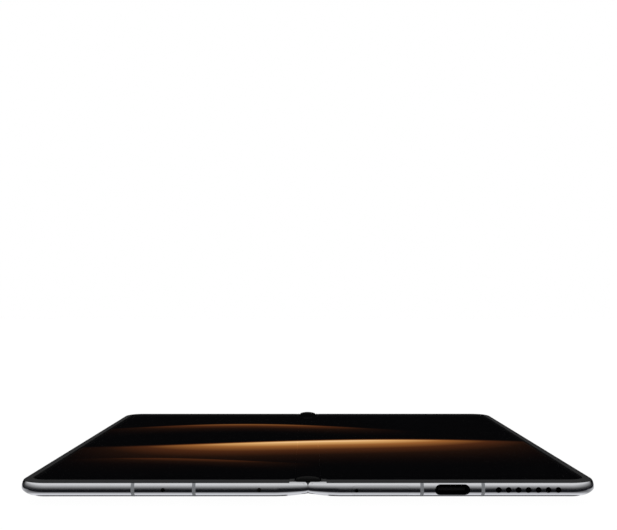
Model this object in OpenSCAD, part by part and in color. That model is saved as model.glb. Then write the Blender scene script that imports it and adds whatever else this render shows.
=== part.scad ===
// Book-style foldable phone, open flat, screen up. X runs across the fold, Y along it, Z up.
// Heights inside the modules are measured from the outer shoulder of the screen rim.

/* [Body] */
// Width of the open phone across the fold
open_w = 145.3; // [130:0.1:160]
// Length of the phone along the fold
body_l = 156.6; // [140:0.1:170]
// Thickness of each half, from the rim's outer shoulder to the back
body_t = 4.1; // [3.8:0.05:6]
// Corner radius seen from above
corner_r = 7.0; // [5:0.1:14]
// Depth of the widest line of the edge below the rim
belt_drop = 2.1; // [1:0.05:3]
// How far the top edge lies inside the widest line
top_inset = 0.9; // [0.3:0.05:2]
// How far the flat back lies inside the widest line
back_inset = 3.8; // [1:0.05:5]
// Fullness of the lower edge curve, where 2 is an ellipse
edge_power = 1.73; // [1.2:0.01:3]

/* [Fold] */
// Distance of each fold axis from the centre line
axis_x = 1.08; // [1:0.01:1.2]
// Depth of the fold axes below the rim
axis_drop = 0.85; // [0.6:0.05:1.5]
// Gap between the two frame ends when the phone is open
end_gap = 0.1; // [0.05:0.01:0.3]
// Outer radius of the spine about each fold axis
spine_r = 2.05; // [1.8:0.05:2.2]
// Inner radius of the frame lips that sweep round the spine
lip_r = 2.25; // [2:0.05:2.4]
// Height that the back rises towards the fold
lip_rise = 0.75; // [0:0.05:1]
// Distance from the fold over which the back rises
rise_run = 8.0; // [6:0.5:12]
// Half length of the spine
spine_half_l = 76.95; // [70:0.05:77]

/* [Screen] */
// Height of the plastic rim on the frame's outer edge
rim_t = 0.25; // [0.2:0.05:0.5]
// Height that the rim and the fold ends crown above their outer shoulder
crown = 0.19; // [0:0.01:0.2]
// Distance of the rim's inner edge from the widest line
rim_inset = 2.8; // [2:0.05:4]
// Distance of the screen sheet's edge from the widest line
screen_inset = 1.75; // [1.2:0.05:3]
// Depth of the screen below the rim
screen_drop = 0.25; // [0.1:0.05:0.4]
// Thickness of the screen sheet
screen_t = 0.35; // [0.2:0.05:0.5]
// Half width of the part of the screen that bends
bend_half = 3.3; // [3:0.05:6]
// Distance from the fold at which the straight rim ends
rim_end = 4.62; // [4:0.01:6]

/* [Ports] */
// Depth of the sockets' and keys' centre line below the rim
port_drop = 2.05; // [1.8:0.01:2.3]
// Depth of the centre line of the openings in the near edge below the rim
hole_drop = 1.92; // [1.8:0.01:2.3]
// Distance of the charging socket from the fold
usb_x = 35.9; // [30:0.1:45]
// Width of the charging socket's opening
usb_w = 8.74; // [8.3:0.01:9]
// Height of the charging socket's opening in the edge
usb_h = 2.76; // [2.6:0.01:2.9]
// Width inside the charging socket
shell_w = 8.4; // [8.3:0.01:8.6]
// Height inside the charging socket
shell_h = 2.5; // [2.4:0.01:2.6]
// Distance from the fold to the tray's near end
tray_x = 10.75; // [10:0.05:14]
// Length of the tray's front plate
tray_w = 14.6; // [12:0.05:16]
// Distance from the fold to the tray's eject hole
eject_x = 12.05; // [11.9:0.05:12.2]
// Width of the tray's eject hole
eject_d = 1.0; // [0.8:0.05:1.1]
// Distance from the fold to the first speaker hole
speaker_x = 47.3; // [46:0.1:50]
// Spacing of the speaker holes
speaker_pitch = 2.47; // [2:0.01:3]
// Number of speaker holes
speaker_holes = 7; // [4:1:7]
// Width of each speaker hole
speaker_d = 1.45; // [1:0.05:1.6]

/* [Camera island] */
// Height of the island above the flat back
island_rise = 1.9; // [1:0.1:3]
// Radius of the island
island_r = 22.5; // [18:0.5:26]
// Distance of the island's centre from the fold
island_x = 38.5; // [34:0.5:42]
// Distance of the island's centre from the middle of the length
island_y = 45.0; // [40:0.5:50]
// Distance of each camera from the island's centre
lens_ring_r = 11.2; // [10:0.1:12]

/* [Keys] */
// Middle of the power key along the length
power_y = 12.0; // [0:1:20]
// Length of the power key
power_l = 13.0; // [10:0.5:16]
// Middle of the volume rocker along the length
volume_y = 40.0; // [30:1:50]
// Length of the volume rocker
volume_l = 21.0; // [16:0.5:24]
// Height of both keys
key_h = 1.7; // [1.2:0.1:2]

/* [Hidden] */
$fa = 18;
$fs = 0.8;
half_w = open_w / 2;
half_l = body_l / 2;
top_z = body_t + island_rise;
round_r = 1.08;
round_top = 0.05;
eps = 0.01;
big = 200;
floor_z = -(screen_drop + screen_t + 0.2);
deck_t = 0.4;
deck_z = floor_z - deck_t;
pan_z = -body_t + 0.5;
ledge_z = pan_z + 0.15;
cavity_inset = 4.6;
beam_x = 9.2;
strip_half_l = 73.9;
foot_x = bend_half + 0.05;
wall_y = half_l - 1.2;
foot_y = half_l - 1.3;
pocket_top = crown + 0.1;
foot_top = 0.09;
core_r = 1.6;
seat_z = -0.9;
cap_y0 = 74.2;
cap_y1 = 76.9;
block_top = -0.3;
pin_r = 0.45;
tail_r = 0.22;
gear_y0 = 75.0;
gear_y1 = 75.9;
arm_w = 6.0;
arm_t = 0.58;
arm_x = 9.3;
arm_top = -0.9;
arc_in = 1.04;
arc_out = 1.54;
left_arm_y = 52;
right_arm_y = 44;
screw_x = [5.2, 8.0];
flex_w = 14.0;
flex_z = -1.0;
flex_t = 0.12;
band_w = 0.86;
band_x = [28.32, 43.5];
mic_x = [12.1, 35.95];
tray_h = 2.3;
tray_gap = 0.03;
tray_mid = 18.95;
speaker_mid = speaker_x + speaker_pitch * (speaker_holes - 1) / 2;
gear_room = 1.24 * axis_x;
edge_steps = 8;
rim_drops = [0, rim_t * 0.4, rim_t];
frame_drops = [rim_t, 0.5, 0.8, 1.3];

// Edge lines as inset and height pairs: round the rim, and from under the rim round to the flat back.
// Their points are kept to four decimals, so that straight and turned stretches meet exactly.
function short(v) = round(v * 10000) / 10000;
function upper_point(d) = [short(top_inset * (1 - sqrt(1 - pow(1 - d / belt_drop, 2)))), -short(d)];
rim_line = concat([[2.35, short(crown)], [1.5, short(crown * 0.7)]], [for (d = rim_drops) upper_point(d)]);
frame_line = concat(
    [for (d = frame_drops) upper_point(d)],
    [for (i = [0 : edge_steps])
        let (b = 90 * i / edge_steps)
        [short(back_inset * (1 - pow(cos(b), 2 / edge_power))),
         short(-belt_drop - (body_t - belt_drop) * pow(sin(b), 2 / edge_power))]]
);

// Places along the last stretch before the fold: share of the run left, share of the rise, and how far the near and
// far faces have turned in towards the gap.
fold_stations = [
    [1, 0, 0], [0.65, 0.14, 0], [0.35, 0.5, 0], [0.17, 0.77, 0.01], [0.07, 0.9, 0.06], [0.02, 0.97, 0.14], [0, 1, 0.22]
];

// Placement helpers

module lift() {
    translate([0, 0, top_z]) children();
}

module along_y(y0, y1) {
    translate([0, y1, 0]) rotate([90, 0, 0]) linear_extrude(y1 - y0) children();
}

module along_x(x0, x1) {
    translate([x0, 0, 0]) rotate([90, 0, 90]) linear_extrude(x1 - x0) children();
}

module both_ends() {
    children();
    mirror([0, 1, 0]) children();
}

module other_half() {
    mirror([1, 0, 0]) children();
}

module slab(x0, x1, y0, y1, z0, z1) {
    translate([x0, y0, z0]) cube([x1 - x0, y1 - y0, z1 - z0]);
}

// Plan helpers

function arc(cx, cy, r, a0, a1, n) = [
    for (i = [0 : n])
        let (a = a0 + (a1 - a0) * i / n)
        [cx + r * cos(a), cy + r * sin(a)]
];

module slot2d(w, h) {
    translate([-(w - h) / 2, 0]) circle(d = h);
    translate([(w - h) / 2, 0]) circle(d = h);
    square([w - h, h], center = true);
}

module rounded2d(x0, x1, y0, y1, r) {
    polygon(concat(
        arc(x1 - r, y1 - r, r, 0, 90, 4),
        arc(x0 + r, y1 - r, r, 90, 180, 4),
        arc(x0 + r, y0 + r, r, 180, 270, 4),
        arc(x1 - r, y0 + r, r, 270, 360, 4)
    ));
}

module wedge2d(a0, a1) {
    polygon(concat([[0, 0]], arc(0, 0, 6, a0, a1, 6)));
}

// Plan of the left half's screen, set in from the widest line, with a clear notch at each hinge cap.
module screen2d(inset, end_x, fold_x, fold_l) {
    r = corner_r - inset;
    x0 = -(half_w - inset);
    y1 = half_l - inset;
    polygon(concat(
        [[fold_x, fold_l], [end_x, fold_l], [end_x, y1]],
        arc(x0 + r, y1 - r, r, 90, 180, 6),
        arc(x0 + r, -y1 + r, r, 180, 270, 6),
        [[end_x, -y1], [end_x, -fold_l], [fold_x, -fold_l]]
    ));
}

// Body shape of the left half, built from one of the two edge lines

function low(line) = line[len(line) - 1][1];

module edge_strip2d(line) {
    polygon(concat([[-corner_r, line[0][1]]], [for (p = line) [-p[0], p[1]]], [[-corner_r, low(line)]]));
}

module corner_turn(line) {
    translate([half_w - corner_r, half_l - corner_r, 0])
        rotate_extrude(angle = 90)
            polygon(concat([[0, line[0][1]]], [for (p = line) [corner_r - p[0], p[1]]], [[0, low(line)]]));
}

// The underside is a list of points from the outer edge to the fold, and the strips end at strip_x.
module half_body(line, underside, strip_x) {
    along_y(-(half_l - corner_r), half_l - corner_r)
        polygon(concat([[0, line[0][1]]], [for (p = line) [-half_w + p[0], p[1]]], underside));
    both_ends() {
        along_x(-(half_w - corner_r), -strip_x) translate([half_l, 0]) edge_strip2d(line);
        other_half() corner_turn(line);
    }
}

// One cross-section near the fold, flattened towards the underside of the rim and turned in by the station's amount.
function station_points(line, station, squeeze) = [
    for (p = concat([[corner_r, line[0][1]]], line, [[corner_r, low(line)]]))
        [-short(station[0] * rise_run),
         half_l - p[0] - (p[0] < corner_r ? station[2] : 0),
         short(-rim_t + (p[1] + rim_t) * squeeze)]
];

// Skin over rows of points with end faces, all rows alike.
module loft(rows) {
    n = len(rows[0]);
    last = (len(rows) - 1) * n;
    polyhedron(
        points = [for (row = rows) each row],
        faces = concat(
            [[for (i = [n - 1 : -1 : 0]) i]],
            [for (k = [0 : len(rows) - 2]) for (i = [0 : n - 1])
                for (f = [[k * n + i, k * n + (i + 1) % n, (k + 1) * n + (i + 1) % n],
                          [k * n + i, (k + 1) * n + (i + 1) % n, (k + 1) * n + i]]) f],
            [[for (i = [0 : n - 1]) last + i]]
        )
    );
}

module frame_body() {
    half_body(
        frame_line,
        [for (s = fold_stations) [-short(s[0] * rise_run), short(-body_t + s[1] * lip_rise)]],
        rise_run
    );
    both_ends() {
        loft([for (s = fold_stations) station_points(frame_line, s, 1 - s[1] * lip_rise / (body_t - rim_t))]);
        loft([for (s = concat([[rim_end / rise_run, 0, 0]], [for (t = fold_stations) if (t[0] < 0.5) t]))
            station_points(rim_line, s, 1)]);
    }
}

// Frame halves, drawn as the left one

module fold_end_cut() {
    along_y(-big, big) {
        translate([-end_gap / 2, -big]) square([big, 2 * big]);
        difference() {
            translate([-end_gap / 2 - round_r, round_top - round_r]) square([round_r + 1, round_r + 1]);
            translate([-end_gap / 2 - round_r, round_top - round_r]) circle(r = round_r);
        }
    }
}

module spine_sweep() {
    along_y(-wall_y, wall_y)
        polygon(concat(
            [[-axis_x - lip_r, pocket_top]],
            arc(-axis_x, -axis_drop, lip_r, 180, 270, 6),
            [[1, -axis_drop - lip_r], [1, pocket_top]]
        ));
}

module frame_insides() {
    translate([0, 0, floor_z]) linear_extrude(2) screen2d(screen_inset, -rim_end - 0.2, 1, strip_half_l);
    translate([0, 0, ledge_z]) linear_extrude(deck_z - ledge_z)
        rounded2d(-(half_w - cavity_inset), -beam_x, -(half_l - cavity_inset), half_l - cavity_inset, 3);
    translate([0, 0, -body_t - 1]) linear_extrude(ledge_z + body_t + 1)
        rounded2d(-(half_w - back_inset - 0.1), -8.3, -(half_l - back_inset - 0.1), half_l - back_inset - 0.1, 3.1);
}

module arm_pockets(arm_y) {
    both_ends() {
        slab(-arm_x - 0.1, -2.9, arm_y - arm_w / 2 - 0.1, arm_y + arm_w / 2 + 0.1, arm_top - arm_t - 0.06, 0);
        for (x = screw_x) translate([-x, arm_y, -2.75]) cylinder(r = 0.41, h = 2);
    }
}

module band_cut() {
    for (x = band_x) translate([-x - band_w / 2, 0, 0]) both_ends() band_prism();
}

module band_prism() {
    y1 = half_l;
    along_x(0, band_w)
        polygon([
            [y1 - 1.2, 1], [y1 + 1, 1], [y1 + 1, -body_t - 1], [y1 - back_inset + 0.15, -body_t - 1],
            [y1 - back_inset + 0.15, -body_t + 0.5], [y1 - 2.4, -3.3], [y1 - 1.2, -2.5]
        ]);
}

module frame_half(arm_y) {
    difference() {
        frame_body();
        fold_end_cut();
        spine_sweep();
        slab(-big, -foot_x, -foot_y, foot_y, -rim_t, 1);
        frame_insides();
        arm_pockets(arm_y);
        slab(-beam_x - 0.5, -2.9, -flex_w / 2 - 0.5, flex_w / 2 + 0.5, flex_z - flex_t - 0.25, 0);
        both_ends() along_y(wall_y - 1, half_l - 0.35) translate([-axis_x, -axis_drop]) circle(r = pin_r + eps);
        band_cut();
    }
}

module left_frame() {
    color("#c9cacd") lift() difference() {
        frame_half(left_arm_y);
        for (x = mic_x) along_y(-half_l - 1, -half_l + cavity_inset + 1) translate([-x, -hole_drop]) circle(d = 1.1);
    }
}

module key_cut(mid_y, length) {
    along_x(half_w - 1.2, half_w + 2) translate([mid_y, -port_drop]) slot2d(length + 0.24, key_h + 0.24);
    along_x(half_w - 2.35, half_w - 1.15) translate([mid_y, -port_drop]) slot2d(length + 1.5, key_h + 0.64);
    along_x(half_w - cavity_inset - 1, half_w - 2.3) translate([mid_y, -port_drop]) slot2d(length - 1, key_h);
}

module right_frame() {
    color("#c9cacd") lift() difference() {
        other_half() frame_half(right_arm_y);
        key_cut(power_y, power_l);
        key_cut(volume_y, volume_l);
        along_y(-half_l - 1, -half_l + 1.8) tray_front2d(tray_gap);
        along_y(-half_l + 1.75, -half_l + 2.9) translate([tray_mid, -port_drop]) slot2d(12.6, 2.0);
        along_y(-half_l + 2.85, -half_l + cavity_inset + 1) translate([tray_mid, -port_drop]) slot2d(11.5, 1.1);
        eject_hole(cavity_inset + 1);
        along_y(-half_l - 1, -half_l + 1.2) translate([usb_x, -hole_drop]) slot2d(usb_w, usb_h);
        along_y(-half_l + 1.15, -half_l + 1.8) translate([usb_x, -port_drop]) slot2d(shell_w + 0.2, shell_h);
        along_y(-half_l + 1.75, -half_l + cavity_inset + 1)
            translate([usb_x, -port_drop]) slot2d(shell_w + 0.44, shell_h + 0.44);
        slab(usb_x - 4.8, usb_x + 4.8, -half_l + cavity_inset - eps, -69.2, floor_z - 1, floor_z + 0.05);
        for (i = [0 : speaker_holes - 1])
            along_y(-half_l - 1, -half_l + cavity_inset + 1)
                translate([speaker_x + i * speaker_pitch, -hole_drop]) circle(d = speaker_d, $fn = 14);
    }
}

// Rims, bands and screen

module half_rim() {
    difference() {
        half_body(rim_line, [[0, low(rim_line)]], rim_end);
        slab(-rim_end, 1, -big, big, -1, 1);
        translate([0, 0, -1]) linear_extrude(2) screen2d(rim_inset, -rim_end, 1, strip_half_l + 0.05);
    }
    both_ends() along_y(strip_half_l + 0.05, foot_y) polygon([
        [-rim_end - eps, -rim_t], [-rim_end - eps, foot_top], [-3.8, foot_top], [-foot_x, crown], [-foot_x, -rim_t]
    ]);
}

module left_rim() {
    color("#242424") lift() half_rim();
}

module right_rim() {
    color("#242424") lift() other_half() half_rim();
}

module half_bands() {
    intersection() {
        frame_body();
        band_cut();
    }
}

module left_antenna_bands() {
    color("#7d7f82") lift() half_bands();
}

module right_antenna_bands() {
    color("#7d7f82") lift() other_half() half_bands();
}

module sheet(thickness, inset, fold_x) {
    linear_extrude(thickness) screen2d(inset, -rim_end - 0.3, fold_x, strip_half_l - 0.1);
}

module left_screen() {
    color("#0b0b0d") lift() translate([0, 0, -screen_drop - screen_t]) sheet(screen_t, screen_inset + 0.1, -bend_half);
}

module right_screen() {
    color("#0b0b0d") lift() other_half()
        translate([0, 0, -screen_drop - screen_t]) sheet(screen_t, screen_inset + 0.1, -bend_half);
}

module fold_screen() {
    x = bend_half - eps;
    y = strip_half_l - 0.1;
    color("#0b0b0d") lift() slab(-x, x, -y, y, -screen_drop - screen_t, -screen_drop);
}

module half_plate() {
    difference() {
        translate([0, 0, floor_z + 0.02]) sheet(0.16, screen_inset + 1.2, -bend_half);
        for (y = [-66 : 22 : 66])
            translate([0, y, floor_z]) linear_extrude(1)
                for (x = [4.0, 4.6]) translate([-x, 0]) square([0.3, 18], center = true);
    }
}

module left_backing_plate() {
    color("#9a9b9e") lift() half_plate();
}

module right_backing_plate() {
    color("#9a9b9e") lift() difference() {
        other_half() half_plate();
        slab(usb_x - 5, usb_x + 5, -big, -69, -2, 0);
    }
}

// Fold hinge

module twin_round2d(r) {
    translate([-axis_x, -axis_drop]) circle(r = r, $fn = 24);
    translate([axis_x, -axis_drop]) circle(r = r, $fn = 24);
    translate([-axis_x, -axis_drop - r]) square([2 * axis_x, 2 * r]);
}

module below(z) {
    translate([-big, z]) square([2 * big, big]);
}

// Room for one curved arm in the spine, about the left axis.
module arm_channel(y) {
    along_y(y - arm_w / 2 - 0.15, y + arm_w / 2 + 0.15)
        translate([-axis_x, -axis_drop]) intersection() {
            difference() {
                circle(r = core_r + 0.03);
                circle(r = arc_in - 0.06);
            }
            wedge2d(80, 326);
        }
}

module spine_carrier() {
    color("#8d8f92") lift() difference() {
        union() {
            along_y(-spine_half_l, spine_half_l) difference() {
                twin_round2d(core_r);
                below(seat_z);
            }
            both_ends() along_y(strip_half_l + 0.1, spine_half_l) polygon([
                [-2.6, seat_z - eps], [-3.0, seat_z + 0.15], [-3.0, block_top], [3.0, block_top],
                [3.0, seat_z + 0.15], [2.6, seat_z - eps]
            ]);
        }
        both_ends() {
            for (side = [-1, 1]) translate([side * axis_x, 0, -axis_drop]) {
                along_y(gear_y0 - 0.2, spine_half_l + 1) circle(r = pin_r + 0.04);
                along_y(71.2, gear_y0) circle(r = tail_r + 0.05);
                along_y(gear_y0 - 0.05, gear_y1 + 0.05) circle(r = gear_room);
                along_y(71.3, 73.6) intersection() {
                    circle(r = 0.6);
                    translate([-1, -1]) square([2, 1]);
                }
            }
            arm_channel(left_arm_y);
            other_half() arm_channel(right_arm_y);
        }
        slab(-4, 4, -flex_w / 2 - 0.5, flex_w / 2 + 0.5, flex_z - flex_t - 0.1, 0);
        spine_screw_places() translate([0, 0, -3]) cylinder(r = 0.36, h = 2.0);
    }
}

module spine_screw_places() {
    both_ends() for (y = [24, 63]) translate([0, y, 0]) children();
}

module spine_cover() {
    color("#b9babd") lift() difference() {
        along_y(-spine_half_l, spine_half_l) difference() {
            twin_round2d(spine_r);
            twin_round2d(core_r + 0.02);
            below(seat_z);
        }
        both_ends() {
            slab(-4, -2.2, left_arm_y - 3.2, left_arm_y + 3.2, -1.75, 0);
            slab(2.2, 4, right_arm_y - 3.2, right_arm_y + 3.2, -1.75, 0);
        }
        slab(-4, 4, -flex_w / 2 - 0.5, flex_w / 2 + 0.5, flex_z - flex_t - 0.1, 0);
        spine_screw_places() {
            translate([0, 0, -3]) cylinder(r = 0.38, h = 1);
            translate([0, 0, -3]) cylinder(r = 0.72, h = 0.32);
        }
    }
}

module spine_screws() {
    color("#55575a") lift() spine_screw_places() difference() {
        union() {
            translate([0, 0, -2.84]) cylinder(r = 0.68, h = 0.14);
            translate([0, 0, -2.72]) cylinder(r = 0.34, h = 1.2);
        }
        translate([0, 0, -3]) cylinder(r = 0.3, h = 0.22, $fn = 6);
    }
}

module cap_outline() {
    polygon([
        [-3.08, block_top + 0.01], [-3.05, 0], [-2.98, 0.2], [-2.85, 0.37], [-2.65, 0.5], [-2.3, 0.61], [-1.8, 0.74],
        [-1.2, 0.85], [-0.6, 0.92], [0, 0.94], [0.6, 0.92], [1.2, 0.85], [1.8, 0.74], [2.3, 0.61], [2.65, 0.5],
        [2.85, 0.37], [2.98, 0.2], [3.05, 0], [3.08, block_top + 0.01]
    ]);
}

module near_hinge_cap() {
    color("#141414") lift() mirror([0, 1, 0]) hinge_cap();
}

module far_hinge_cap() {
    color("#141414") lift() hinge_cap();
}

module hinge_cap() {
    difference() {
        intersection() {
            along_y(cap_y0, cap_y1) cap_outline();
            along_x(-4, 4) polygon([
                [cap_y0, -1], [cap_y0, 0.42], [cap_y0 + 0.18, 0.72], [cap_y0 + 0.55, 0.95], [cap_y1 - 0.55, 0.95],
                [cap_y1 - 0.18, 0.72], [cap_y1, 0.42], [cap_y1, -1]
            ]);
        }
        along_y(gear_y0 - 0.05, gear_y1 + 0.05) polygon([
            [-2.5, -1], [-2.5, -0.05], [-2.0, 0.32], [-1.2, 0.53], [1.2, 0.53], [2.0, 0.32], [2.5, -0.05], [2.5, -1]
        ]);
    }
}

module hinge_pins() {
    both_ends() translate([-axis_x, 0, -axis_drop]) {
        along_y(gear_y0 - 0.1, half_l - 0.4) circle(r = pin_r);
        along_y(71.5, gear_y0) circle(r = tail_r);
    }
}

module left_hinge_pins() {
    color("#d4d5d8") lift() hinge_pins();
}

module right_hinge_pins() {
    color("#d4d5d8") lift() other_half() hinge_pins();
}

// Ten teeth about a bore, the first one pointing along the given angle, in proportion to the axes' distance.
module gear2d(first_angle) {
    teeth = 10;
    tooth = [[0.6, -0.19], [0.85, -0.17], [1.15, -0.05], [1.15, 0.05], [0.85, 0.17], [0.6, 0.19]];
    difference() {
        union() {
            circle(r = 0.82 * axis_x);
            for (i = [0 : teeth - 1]) rotate(first_angle + 360 * i / teeth)
                polygon(tooth * axis_x);
        }
        circle(r = pin_r + eps);
    }
}

module left_sync_gears() {
    color("#a8a39a") lift() both_ends() along_y(gear_y0, gear_y1) translate([-axis_x, -axis_drop]) gear2d(0);
}

module right_sync_gears() {
    color("#a8a39a") lift() both_ends() along_y(gear_y0, gear_y1) translate([axis_x, -axis_drop]) gear2d(18);
}

module friction_clips() {
    color("#6d6f72") lift() both_ends() for (side = [-1, 1])
        along_y(71.35, 73.55) translate([side * axis_x, -axis_drop]) intersection() {
            difference() {
                circle(r = 0.56);
                circle(r = tail_r + 0.02);
            }
            wedge2d(195, 345);
        }
}

module arm_shape(y) {
    difference() {
        union() {
            along_y(y - arm_w / 2, y + arm_w / 2) {
                translate([-axis_x, -axis_drop]) intersection() {
                    difference() {
                        circle(r = arc_out);
                        circle(r = arc_in);
                    }
                    wedge2d(182, 320);
                }
                translate([-arm_x, arm_top - arm_t]) square([arm_x - 2.35, arm_t]);
            }
        }
        for (x = screw_x) translate([-x, y, arm_top]) {
            translate([0, 0, -1]) cylinder(r = 0.46, h = 2);
            translate([0, 0, -0.26]) cylinder(r = 0.8, h = 1);
        }
    }
}

module left_hinge_arms() {
    color("#b3b4b8") lift() both_ends() arm_shape(left_arm_y);
}

module right_hinge_arms() {
    color("#b3b4b8") lift() other_half() both_ends() arm_shape(right_arm_y);
}

module arm_screws(y) {
    both_ends() for (x = screw_x) translate([-x, y, arm_top]) difference() {
        union() {
            translate([0, 0, -0.24]) cylinder(r = 0.74, h = 0.22);
            translate([0, 0, -1.8]) cylinder(r = 0.4, h = 1.7);
        }
        translate([0, 0, -0.14]) cylinder(r = 0.32, h = 1, $fn = 6);
    }
}

module left_arm_screws() {
    color("#55575a") lift() arm_screws(left_arm_y);
}

module right_arm_screws() {
    color("#55575a") lift() other_half() arm_screws(right_arm_y);
}

module fold_flex() {
    color("#b5742a") lift() slab(-4, 4, -flex_w / 2, flex_w / 2, flex_z - flex_t, flex_z);
}

module flex_tail() {
    difference() {
        slab(-9.4, -4 - eps, -flex_w / 2, flex_w / 2, flex_z - flex_t, flex_z);
        for (y = [-5 : 2.5 : 5]) slab(-8.4, -5, y - 0.35, y + 0.35, -2, 0);
    }
    slab(-8.9, -6.4, -5.5, 5.5, flex_z - eps, floor_z - 0.02);
}

module left_flex_tail() {
    color("#b5742a") lift() flex_tail();
}

module right_flex_tail() {
    color("#b5742a") lift() other_half() flex_tail();
}

// Backs

module back_plan(inset, fold_x, r) {
    rounded2d(-(half_w - inset), -fold_x, -(half_l - inset), half_l - inset, r);
}

module cover_display_glass() {
    color("#101114") lift() translate([0, 0, -body_t]) linear_extrude(0.5) back_plan(back_inset + 0.2, 8.4, 3.0);
}

module cover_display_panel() {
    color("#1b1c22") lift() difference() {
        translate([0, 0, pan_z + 0.02]) linear_extrude(0.3) back_plan(cavity_inset + 0.75, beam_x + 0.75, 2.2);
        translate([-island_x, 67, -body_t]) cylinder(r = 2.4, h = 2);
    }
}

module seal_ring() {
    difference() {
        back_plan(back_inset + 0.25, 8.45, 2.9);
        back_plan(cavity_inset + 0.05, beam_x + 0.05, 2.9);
    }
}

module left_cover_seal() {
    color("#2b2b2b") lift() translate([0, 0, pan_z + 0.01]) linear_extrude(0.13) seal_ring();
}

module cover_camera() {
    color("#202124") lift() translate([-island_x, 67, 0]) difference() {
        union() {
            translate([0, 0, pan_z + 0.02]) cylinder(r = 2.2, h = 0.9);
            slab(-3, 3, -3, 3, -2.75, -1.9);
        }
        translate([0, 0, pan_z - 0.5]) cylinder(r1 = 1.7, r2 = 1.0, h = 0.9);
    }
}

module rear_cover() {
    color("#2a2b2f") lift() other_half() difference() {
        translate([0, 0, -body_t]) linear_extrude(0.5) back_plan(back_inset + 0.2, 8.4, 3.0);
        translate([-island_x, island_y, -body_t - 1]) cylinder(r = island_r + 0.1, h = 3, $fn = 36);
    }
}

module rear_cover_seal() {
    color("#2b2b2b") lift() other_half() translate([0, 0, pan_z + 0.01]) linear_extrude(0.13) seal_ring();
}

module lens_places() {
    translate([island_x, island_y, 0]) for (a = [90, 210, 330]) rotate(a) translate([lens_ring_r, 0, 0]) children();
}

module camera_island() {
    low = -top_z;
    color("#b9babd") lift() difference() {
        translate([island_x, island_y, 0]) rotate_extrude($fn = 36) polygon([
            [0, -3.3], [island_r + 0.7, -3.3], [island_r + 0.7, pan_z + 0.04], [island_r, pan_z + 0.04],
            [island_r, low + 0.7], [island_r - 0.15, low + 0.35], [island_r - 0.6, low + 0.1],
            [island_r - 1.3, low + 0.1], [island_r - 1.3, low + 0.7], [0, low + 0.7]
        ]);
        lens_places() translate([0, 0, -8]) cylinder(r = 6.45, h = 6);
        translate([island_x, island_y, -8]) cylinder(r = 2.4, h = 6);
    }
}

module camera_glass() {
    color("#0d0e11") lift() difference() {
        translate([island_x, island_y, -top_z + 0.15]) cylinder(r = island_r - 1.4, h = 0.53, $fn = 36);
        lens_places() translate([0, 0, -8]) cylinder(r = 6.65, h = 4, $fn = 20);
        translate([island_x, island_y, -8]) cylinder(r = 2.3, h = 6);
    }
}

module lens_rings() {
    color("#c2c3c6") lift() lens_places() rotate_extrude($fn = 16) polygon([
        [5.4, -top_z + 1.3], [5.4, -top_z + 0.25], [5.6, -top_z], [6.3, -top_z],
        [6.55, -top_z + 0.2], [6.55, -top_z + 0.7],
        [6.4, -top_z + 0.7], [6.4, -top_z + 1.3]
    ]);
}

module lens_windows() {
    color("#15161a") lift() lens_places() translate([0, 0, -top_z + 0.3]) cylinder(r = 5.36, h = 0.3, $fn = 16);
}

module camera_modules() {
    $fn = 16;
    color("#1d1e20") lift() lens_places() difference() {
        union() {
            translate([0, 0, -top_z + 0.65]) cylinder(r = 5.3, h = 2.2);
            translate([0, 0, -3.2]) cylinder(r = 6.2, h = 1.3);
        }
        translate([0, 0, -top_z]) cylinder(r1 = 4.6, r2 = 2.4, h = 1.4);
    }
}

module flash_lens() {
    color("#f1ead2") lift() translate([island_x, island_y, -top_z + 0.2]) {
        cylinder(r = 2.2, h = 0.4);
        cylinder(r = 1.6, h = 1.2);
    }
}

// Keys, tray and socket

module key_shape(mid_y, length, out) {
    along_x(half_w - 1.5, out) translate([mid_y, -port_drop]) slot2d(length, key_h);
    along_x(half_w - 1.75, half_w - 1.4) translate([mid_y, -port_drop]) slot2d(length + 1.1, key_h + 0.4);
}

module power_key() {
    color("#bfc0c4") lift() difference() {
        key_shape(power_y, power_l, half_w - 0.05);
        along_x(half_w - 0.17, half_w) translate([power_y, -port_drop]) slot2d(power_l - 0.6, key_h - 0.6);
    }
}

module volume_rocker() {
    color("#c9cacd") lift() difference() {
        union() {
            key_shape(volume_y, volume_l, half_w + 0.35);
            translate([half_w - 1.5, volume_y, -port_drop - key_h / 2 - 0.1]) cylinder(r = 0.32, h = key_h + 0.2);
        }
        translate([half_w + 0.45, volume_y, -port_drop]) rotate([0, 0, 45]) cube([0.3, 0.3, 4], center = true);
    }
}

module key_switches() {
    color("#3a3b3e") lift() for (y = [power_y, volume_y - 7, volume_y + 7]) {
        along_x(half_w - 4.5, half_w - 2.9) translate([y, -port_drop]) square([3.2, 1.4], center = true);
        along_x(half_w - 2.95, half_w - 2.1) translate([y, -port_drop]) circle(r = 0.6);
    }
}

module tray_front2d(gap) {
    translate([tray_x + tray_w / 2, -port_drop]) slot2d(tray_w + 2 * gap, tray_h + 2 * gap);
}

module eject_hole(depth) {
    along_y(-half_l - 1, -half_l + depth) translate([eject_x, -port_drop]) circle(d = eject_d);
}

module sim_tray() {
    color("#c9cacd") lift() difference() {
        union() {
            intersection() {
                other_half() frame_body();
                along_y(-half_l - 1, -half_l + 1.7) tray_front2d(0);
            }
            slab(tray_mid - 5.45, tray_mid + 5.45, -half_l + 1.6, -60, -port_drop - 0.4, -port_drop + 0.4);
        }
        slab(tray_mid - 4.4, tray_mid + 4.4, -74.1, -61.2, -port_drop - 0.25, -port_drop + 1);
        slab(tray_mid - 3.6, tray_mid + 3.6, -73.3, -62, -port_drop - 1, -port_drop + 1);
        eject_hole(3);
    }
}

module sim_seal() {
    color("#5b1f1a") lift() along_y(-half_l + 1.85, -half_l + 2.7) translate([tray_mid, -port_drop]) difference() {
        slot2d(12.4, 1.8);
        square([10.94, 0.84], center = true);
    }
}

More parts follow.
